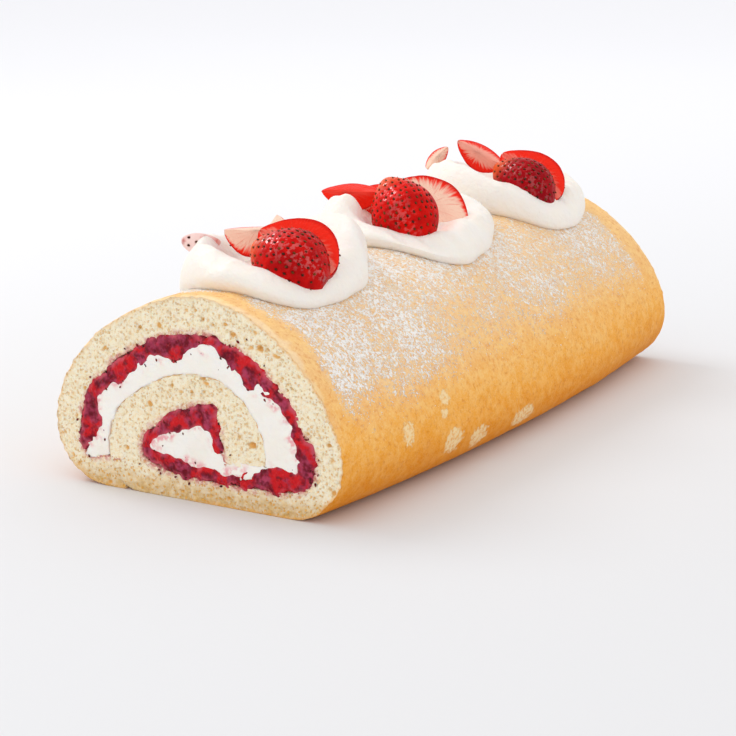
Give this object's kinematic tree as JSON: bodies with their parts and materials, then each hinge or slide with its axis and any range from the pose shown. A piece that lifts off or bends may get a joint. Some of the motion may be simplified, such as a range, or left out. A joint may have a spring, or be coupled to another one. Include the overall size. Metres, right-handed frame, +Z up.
{
  "type": "swiss roll cake",
  "caption": "Rolled sponge cake filled with berry jam and whipped cream, topped with spooned cream and cut strawberries.",
  "frame": {"origin": "on the table under the middle of the roll", "axes": "+Y along the roll, away from the cut end that shows; +X to the right of someone facing that end; +Z up"},
  "size_m": [0.1123, 0.25, 0.0901],
  "materials": {
    "sponge": "soft baked crumb with a matt golden skin",
    "berry_jam": "wet and lumpy",
    "whipped_cream": "smooth satin",
    "strawberry": "wet, seeded skin and cut flesh"
  },
  "bodies": {
    "root": {"sponge": "sponge", "berry_jam": "berry_jam", "cream_filling": "whipped_cream", "dollop_front": "whipped_cream", "dollop_middle": "whipped_cream", "dollop_back": "whipped_cream", "strawberry_front_1": "strawberry", "strawberry_front_2": "strawberry", "strawberry_front_3": "strawberry", "strawberry_front_4": "strawberry", "strawberry_middle_1": "strawberry", "strawberry_middle_2": "strawberry", "strawberry_middle_3": "strawberry", "strawberry_middle_4": "strawberry", "strawberry_back_1": "strawberry", "strawberry_back_2": "strawberry", "strawberry_back_3": "strawberry", "strawberry_back_4": "strawberry"}
  },
  "joints": []
}
